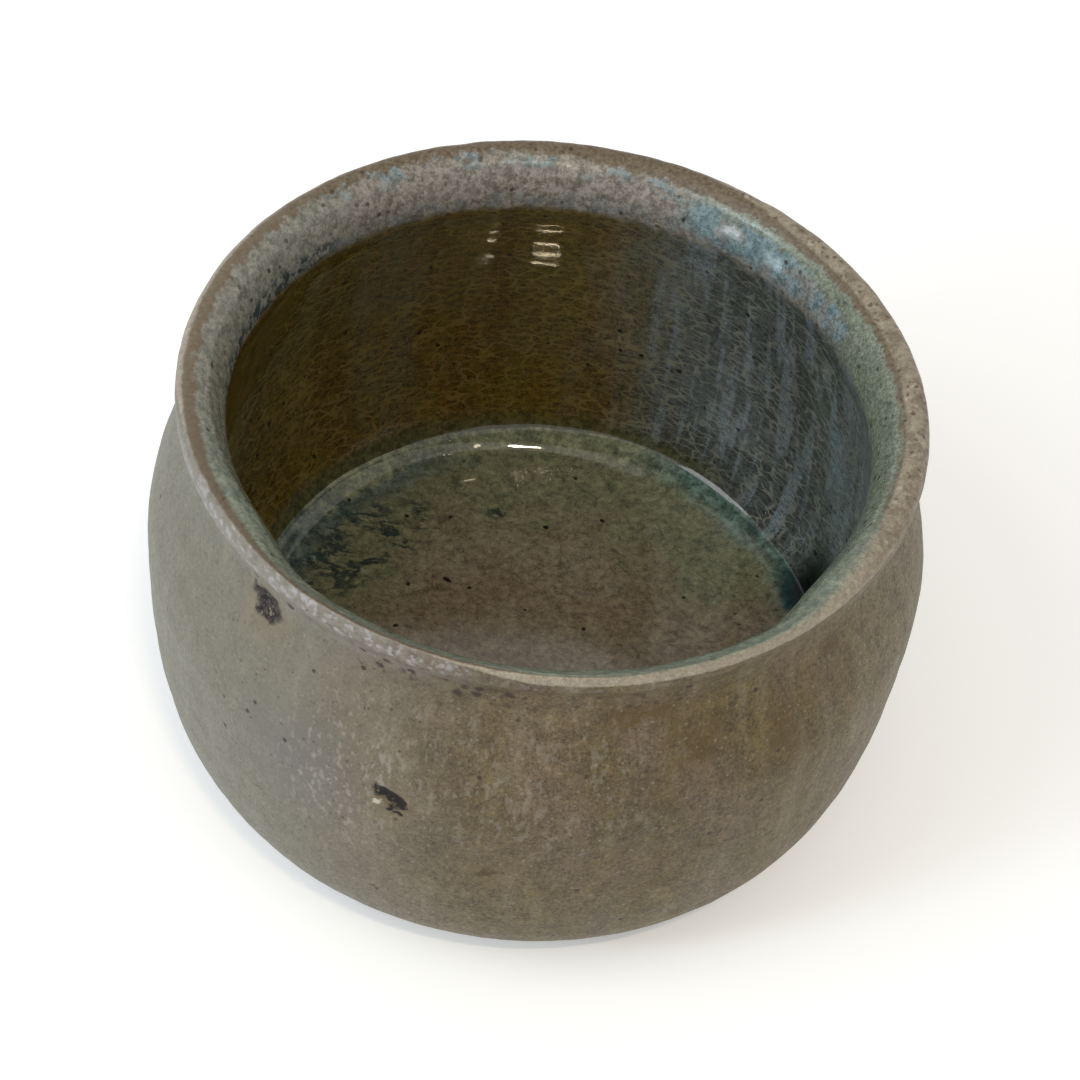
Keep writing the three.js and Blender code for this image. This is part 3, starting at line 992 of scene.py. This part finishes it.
def band_colour(look, inner, mottle, light):
    """The pale band: lilac-grey at the back, green in front and on the right, with turquoise runs."""
    blotch = look.noise(1.0, 4, 0.62)
    dabs = look.noise(1.0, 3, 0.62, look.shaken(0.8, 0.9))
    low = look.ramp(look.mark, THROAT - 3.5, THROAT - 0.5)
    look.ground(blotch, 0.36, 0.62, (108, 99, 89), (142, 135, 126))
    left = look.graded(dabs, 0.36, 0.62, (112, 113, 102), (140, 137, 127))
    look.lay(left, look.facing(180, 26, 56))
    bluish = look.blobs(0.45, 0.4, 0.6)
    look.lay((108, 116, 121), low, look.facing(100, 70, 105), bluish, 0.5)
    right = look.graded(mottle, 0.34, 0.64, (99, 108, 93), (126, 133, 117))
    upper = look.times(look.facing(28, 28, 50), look.ramp(look.past, 4, 3))
    look.lay(right, look.capped(look.facing(-8, 26, 48), upper))
    front = look.graded(dabs, 0.36, 0.62, (98, 107, 93), (124, 131, 115))
    look.lay(front, look.facing(-95, 45, 80))
    turquoise = look.graded(blotch, 0.34, 0.6, (92, 112, 117), (124, 144, 149))
    look.lay(turquoise, turquoise_runs(look, inner))
    strokes = look.times(look.facing(163, 15, 28), look.blobs(0.6, 0.46, 0.55, look.shaken(1.6, 0.9, 3)),
                         look.between(look.mark, THROAT - 2.8, THROAT - 1.4, THROAT - 0.2, THROAT + 0.8))
    look.lay((36, 52, 57), strokes, 0.85)
    look.shade(light)
    return look.colour


def crest_colour(look, blotch, mottle, grain):
    """The pale glaze along the outer edge of the crest; its paler front and its pale flecks are partly real
    glaze and partly painted highlight.
    """
    look.ground(blotch, 0.36, 0.62, (120, 108, 90), (148, 138, 119))
    look.lay((150, 141, 127), look.facing(-172, 25, 45))
    # Paler crest in front, where it faces the lamps: partly pale glaze, partly painted highlight.
    look.lay((166, 155, 137), look.facing(-78, 34, 56), 0.6)
    # Pale flecks: partly pale specks in the glaze, partly painted highlights.
    look.lay((176, 167, 150), look.flecks(0.5, 0.26, look.shaken(0.7, 1.0)), 0.6)
    look.shade(look.swing((mottle, 1.0), (grain, 0.8)))
    return look.colour


def breaking_brown(look, mottle, front):
    """The brown of the crest, where the glaze is thin."""
    look.ground(mottle, 0.34, 0.66, (82, 68, 49), (116, 102, 82))
    look.lay((114, 101, 82), look.facing(178, 22, 48), 0.45)
    look.lay((78, 66, 50), front, 0.6)
    return look.colour


def rim_colour(look):
    """Colour from under the crest, over it and down the band to under the throat."""
    wall_ground(look)
    liner = look.colour
    mottle, grain = outer_ground(look)
    ground = look.colour
    blotch = look.noise(0.7, 4, 0.65)
    sway = look.centred(look.noise(0.55, 4, 0.68))
    front = look.facing(-95, 45, 85)
    front_left = look.facing(-130, 22, 46)
    right = look.facing(0, 42, 75)
    edge = look.plus(look.past, look.times(sway, 0.6))
    ragged = look.times(sway, look.ramp(front, 0.0, 1.0, 3.2, 0.5))
    inner = look.plus(look.past, ragged, look.times(front, 2.1), look.times(look.facing(150, 35, 60), 0.7),
                      look.times(look.facing(46, 28, 50), -0.4), look.times(front_left, -0.6))

    crest = crest_colour(look, blotch, mottle, grain)
    brown = breaking_brown(look, mottle, front)
    light = look.swing((mottle, 0.9), (grain, 0.8), (blotch, 0.8))
    band = band_colour(look, inner, mottle, light)

    look.colour = ground
    under_lip(look)
    crest_mark = look.plus(edge, look.times(front, 0.5), look.times(front_left, -1.2))
    look.lay(crest, look.ramp(crest_mark, -1.85, -1.55))
    brown_mark = look.plus(edge, look.times(right, -1.6), look.times(front, 0.35))
    look.lay(brown, look.ramp(brown_mark, -0.8, -0.4))
    soft = look.ramp(look.facing(-35, 25, 55), 0.0, 1.0, 0.3, 0.9)
    share = look.ramp(inner, look.math("SUBTRACT", BAND_START, soft), look.plus(soft, BAND_START))
    look.lay(band, share)
    specks = look.flecks(0.42, 0.17, look.shaken(0.5, 1.2))
    look.lay((50, 40, 32), specks, look.ramp(look.past, -1.2, 0), 0.8)
    iron = look.times(look.flecks(0.8, 0.3, look.shaken(0.8, 0.9)), look.facing(60, 65, 100),
                      look.between(look.past, -2.2, -1.2, 0.8, 1.8))
    look.lay((74, 52, 40), iron, 0.75)
    below = look.plus(look.mark, look.times(sway, 2.0))
    look.lay(liner, look.ramp(below, THROAT - 0.6, THROAT + 0.9))
    return mottle, grain


def lip_glaze_look():
    look = Look("lip_glaze")
    mottle, grain = rim_colour(look)
    roughness = look.ramp(look.past, 0, LIP_IN, 0.46, 0.26)
    peel = look.plus(look.times(mottle, 0.7), look.times(grain, 0.3))
    return look.finish(roughness, look.bump(peel, 0.08), 0.35)


def rim_band_glaze_look():
    look = Look("rim_band_glaze")
    mottle, grain = rim_colour(look)
    roughness = look.ramp(look.past, LIP_IN, LIP_IN + 1.5, 0.2, 0.04)
    peel = look.plus(look.times(mottle, 0.8), look.times(grain, 0.2))
    return look.finish(roughness, look.bump(peel, 0.05), 0.5)


def inner_wall_glaze_look():
    look = Look("inner_wall_glaze")
    mottle, lines = wall_ground(look)
    wavering = look.shaken(0.8, 0.5)
    drip = look.capped(look.spot(wavering, 61, LINER_RADIUS, 35, 0.55, 3.2, 8, 0.5),
                       look.spot(wavering, 63, LINER_RADIUS, 38, 1.0, 0.7, 30, 0.5))
    look.lay((26, 30, 36), drip, 0.7)
    look.lay((14, 12, 10), look.flecks(0.27, 0.12, look.shaken(0.5, 1.2)))
    low = look.plus(look.z, look.times(look.centred(mottle), 3.0))
    green = look.times(look.ramp(low, POOL_LEVEL + 3.8, POOL_LEVEL + 2.2), look.facing(112, 44, 70))
    creep = look.graded(mottle, 0.38, 0.6, (48, 51, 28), (80, 79, 50))
    look.lay(creep, green, 0.8)
    teal = look.spot(look.shaken(2.4, 0.7, 3), 22, LINER_RADIUS - 0.5, 13.0, 7.0, 9.0, soft=0.9)
    look.lay((5, 18, 16), teal)

    roughness = look.ramp(mottle, 0.3, 0.7, 0.025, 0.05)
    waves = look.plus(look.noise(0.5, 2), look.times(mottle, 0.1), look.times(lines, -0.05))
    return look.finish(roughness, look.bump(waves, 0.004), 0.6)


# Pool on the floor

def pool_ground(look, blotch, sway, wander):
    """The middle of the pool: brown, paler in front and green at the back."""
    clouds = look.noise(0.1, 3, 0.55)
    look.ground(clouds, 0.36, 0.62, (107, 94, 75), (115, 105, 88))
    front = look.ramp(look.plus(look.y, look.times(sway, 26)), 4, -18)
    look.lay((117, 112, 101), front)
    look.lay((84, 72, 55), look.ramp(blotch, 0.46, 0.32), 0.2)
    look.lay((146, 141, 131), look.ramp(blotch, 0.55, 0.68), front, 0.6)
    back = look.capped(look.facing(146, 52, 85), look.facing(62, 30, 48))
    look.lay((105, 107, 80), back, look.ramp(wander, 16, 26), 0.85)


def pool_rim(look, blotch, rim):
    """The thick edge of the pool: bluish on the left, olive at the back and sea green on the right."""
    bluish = look.graded(blotch, 0.36, 0.62, (54, 69, 66), (90, 103, 96))
    look.lay(bluish, look.ramp(rim, 29.5, 33.0), look.facing(162, 36, 60), 0.85)
    olive = look.graded(blotch, 0.4, 0.6, (92, 98, 73), (120, 123, 94))
    look.lay(olive, look.ramp(rim, 33.4, 34.8), look.facing(100, 40, 58), 0.85)
    sea = look.graded(blotch, 0.36, 0.64, (46, 76, 76), (94, 117, 107))
    look.lay(sea, look.ramp(rim, 31.5, 36.0), look.facing(26, 30, 50))


def pool_crystals(look, wander):
    """Dark crystals that grew in the glass on the left, dabs at the back, and teal on the right."""
    ragged = look.shaken(3.0, 0.55, 4)
    flow = look.vector("MULTIPLY", look.shaken(8.0, 0.13, 3), (0.45, 1.0, 1))
    strands = look.math("ABSOLUTE", look.centred(look.noise(0.42, 4, 0.62, flow)))
    left = look.capped(look.patch(ragged, 158, 29, 15, 9, 0.7), look.patch(ragged, 141, 26, 10, 6, 0.7),
                       look.patch(ragged, 110, 22.8, 3, 2, 0.9))
    grown = look.blobs(0.26, 0.34, 0.54)
    look.lay((16, 38, 38), look.ramp(strands, 0.1, 0.02), left, grown, 0.9)
    dabs = look.times(look.blobs(0.6, 0.54, 0.66, ragged), look.ramp(wander, 20, 26))
    look.lay((40, 56, 48), dabs, look.ramp(look.y, 6, 14), 0.5)
    frayed = look.shaken(3.0, 0.6, 4)
    look.lay((10, 50, 50), look.patch(frayed, 23, 36.0, 6.0, 4.2, soft=0.5))
    look.lay((2, 10, 9), look.patch(frayed, 21, 36.6, 5.5, 3.6, soft=0.7))


def floor_pool_look():
    look = Look("floor_glaze_pool")
    blotch = look.noise(0.5, 4, 0.66)
    mottle = look.noise(1.3, 4, 0.72)
    grain = look.noise(3.6, 3, 0.65)
    lace = look.cells(look.shaken(0.9, 0.9, 3), 0.8)
    sway = look.centred(look.noise(0.16, 4, 0.62))
    from_middle = look.vector("SUBTRACT", look.place, (FLOOR_SHIFT, 0, 0))
    reach = look.vector("LENGTH", look.vector("MULTIPLY", from_middle, (1, 1, 0)))
    wander = look.plus(reach, look.times(sway, 22.0))
    rim = look.plus(reach, look.times(sway, 4.0), look.times(look.centred(blotch), 5.0))

    pool_ground(look, blotch, sway, wander)
    pool_rim(look, blotch, rim)
    pool_crystals(look, wander)
    look.shade(look.swing((blotch, 1.0), (mottle, 2.2), (grain, 1.4), (lace, -0.25)))
    specks = look.flecks(0.24, 0.1, look.shaken(0.6, 1.0))
    dash = look.patch(look.shaken(0.5, 1.5), 145.9, 15.4, 0.4, 0.8, 0.4)
    look.lay((24, 18, 12), look.math("MAXIMUM", specks, dash))
    cracks = look.ramp(look.cells(look.shaken(3.0, 0.25, 4), 0.1, "DISTANCE_TO_EDGE"), 0.012, 0.003)
    look.lay((64, 52, 38), cracks, 0.3)

    wrinkled = look.times(look.between(look.y, 23, 25, 30, 32), look.between(look.x, -5, -2, 3, 6))
    waves = look.times(look.centred(look.noise(0.7, 2)), wrinkled)
    roughness = look.plus(look.ramp(look.y, 19, 4, 0.02, 0.11), look.ramp(mottle, 0.3, 0.7, 0.0, 0.02))
    return look.finish(roughness, look.bump(waves, 0.4), 0.42)


# Bare clay of the foot

def bare_clay_look():
    look = Look("bare_clay")
    clouds = look.noise(0.12, 3)
    mottle = look.noise(1.2, 4, 0.65)
    grain = look.noise(4.5, 2, 0.6)
    iron = look.flecks(0.45, 0.17)
    look.ground(clouds, 0.35, 0.65, (150, 122, 92), (172, 146, 114))
    look.lay((112, 84, 60), look.ramp(mottle, 0.48, 0.28), 0.6)
    look.lay((196, 172, 140), look.ramp(grain, 0.55, 0.75), 0.4)
    flash = look.ramp(look.mark, 0.5, GLAZE_LINE + 2)
    look.lay((124, 82, 52), flash, 0.6)
    look.lay((58, 40, 30), iron, 0.85)
    worn = look.ramp(look.z, 0.3, 0.02)
    look.lay((186, 164, 134), worn, 0.4)
    relief = look.plus(look.times(mottle, 0.6), look.times(grain, 0.4), look.times(iron, 0.3))
    return look.finish(look.ramp(mottle, 0.3, 0.7, 0.92, 0.78), look.bump(relief, 0.16), 0.25)


# Studio

def seen_rays(tree):
    """1 for what the camera sees, straight or in a surface, and 0 for diffuse light."""
    path = tree.nodes.new("ShaderNodeLightPath").outputs
    seen = path["Is Camera Ray"]
    for kind in ("Is Glossy Ray", "Is Transmission Ray"):
        either = tree.nodes.new("ShaderNodeMath")
        either.operation = "MAXIMUM"
        tree.links.new(seen, either.inputs[0])
        tree.links.new(path[kind], either.inputs[1])
        seen = either.outputs[0]
    return seen


def floor_look():
    """A pale floor that glows a little where it is seen."""
    look = Look("studio_floor")
    tint = look.noise(0.004, 2)
    colour = look.mix(tint, (0.9, 0.9, 0.9, 1), (0.92, 0.92, 0.92, 1))
    look.feed_all(look.shader, **{
        "Base Color": colour, "Roughness": 0.9, "Specular IOR Level": 0.0,
        "Emission Color": (1, 1, 1, 1), "Emission Strength": look.times(seen_rays(look.tree), FLOOR_GLOW)})
    return look.material


def make_floor():
    side = STUDIO_REACH * MM
    mesh = bpy.data.meshes.new("studio_floor")
    corners = [(-side, -side, 0), (side, -side, 0), (side, side, 0), (-side, side, 0)]
    mesh.from_pydata(corners, [], [(0, 1, 2, 3)])
    mesh.materials.append(floor_look())
    floor = bpy.data.objects.new("studio_floor", mesh)
    bpy.context.scene.collection.objects.link(floor)


def make_world():
    """White where it is seen, and a softer fill for diffuse light."""
    world = bpy.data.worlds.new("studio")
    world.use_nodes = True
    tree = world.node_tree
    strength = tree.nodes.new("ShaderNodeMapRange")
    strength.inputs["To Min"].default_value = WORLD_FILL
    strength.inputs["To Max"].default_value = 1.0
    tree.links.new(seen_rays(tree), strength.inputs["Value"])
    background = tree.nodes["Background"]
    background.inputs["Color"].default_value = (1, 1, 1, 1)
    tree.links.new(strength.outputs[0], background.inputs["Strength"])
    bpy.context.scene.world = world


def make_lamp(name, azimuth, elevation, distance, width, height, level, colour):
    """A soft box. Its level is the brightness that it gives a white face turned to it."""
    lift = math.radians(elevation)
    way = compass(azimuth)[0] * math.cos(lift) + Vector((0, 0, math.sin(lift)))
    data = bpy.data.lights.new(name, "AREA")
    data.shape = "RECTANGLE"
    data.size = width * MM
    data.size_y = height * MM
    data.energy = level * math.pi ** 2 * (distance * MM) ** 2
    data.color = colour
    lamp = bpy.data.objects.new(name, data)
    lamp.location = (Vector((0, 0, BELLY_HEIGHT)) + way * distance) * MM
    lamp.rotation_euler = way.to_track_quat("Z", "Y").to_euler()
    bpy.context.scene.collection.objects.link(lamp)


def make_camera():
    lift, roll = math.radians(CAMERA_ELEVATION), math.radians(CAMERA_ROLL)
    ahead = Vector((0, math.cos(lift), -math.sin(lift)))
    level_right = Vector((1, 0, 0))
    level_up = Vector((0, math.sin(lift), math.cos(lift)))
    right = level_right * math.cos(roll) + level_up * math.sin(roll)
    up = level_up * math.cos(roll) - level_right * math.sin(roll)
    data = bpy.data.cameras.new("photo_view")
    data.lens = CAMERA_LENS
    data.sensor_width = CAMERA_SENSOR
    data.clip_start = CAMERA_NEAR * MM
    camera = bpy.data.objects.new("photo_view", data)
    axes = Matrix((right, up, -ahead)).transposed()
    place = Vector(CAMERA_TARGET) * MM - ahead * CAMERA_DISTANCE * MM
    camera.matrix_world = Matrix.Translation(place) @ axes.to_4x4()
    bpy.context.scene.collection.objects.link(camera)
    bpy.context.scene.camera = camera


def dress(piece, node, material):
    """Gives a piece its material and puts it in the place of a node of the solids."""
    piece.data.materials.append(material)
    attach(piece, "root")
    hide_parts(node)


make_camera()
make_world()
make_floor()
for lamp_name, settings in LAMPS.items():
    make_lamp(lamp_name, *settings)
bpy.context.scene.view_settings.view_transform = "Standard"

coats = make_coats()
dress(make_clay(), "clay_body", bare_clay_look())
dress(coats["outer"], "outer_glaze", outer_glaze_look())
dress(coats["lip"], "lip_glaze", lip_glaze_look())
dress(coats["band"], "rim_band_glaze", rim_band_glaze_look())
dress(coats["wall"], "inner_wall_glaze", inner_wall_glaze_look())
dress(make_pool(), "floor_glaze_pool", floor_pool_look())
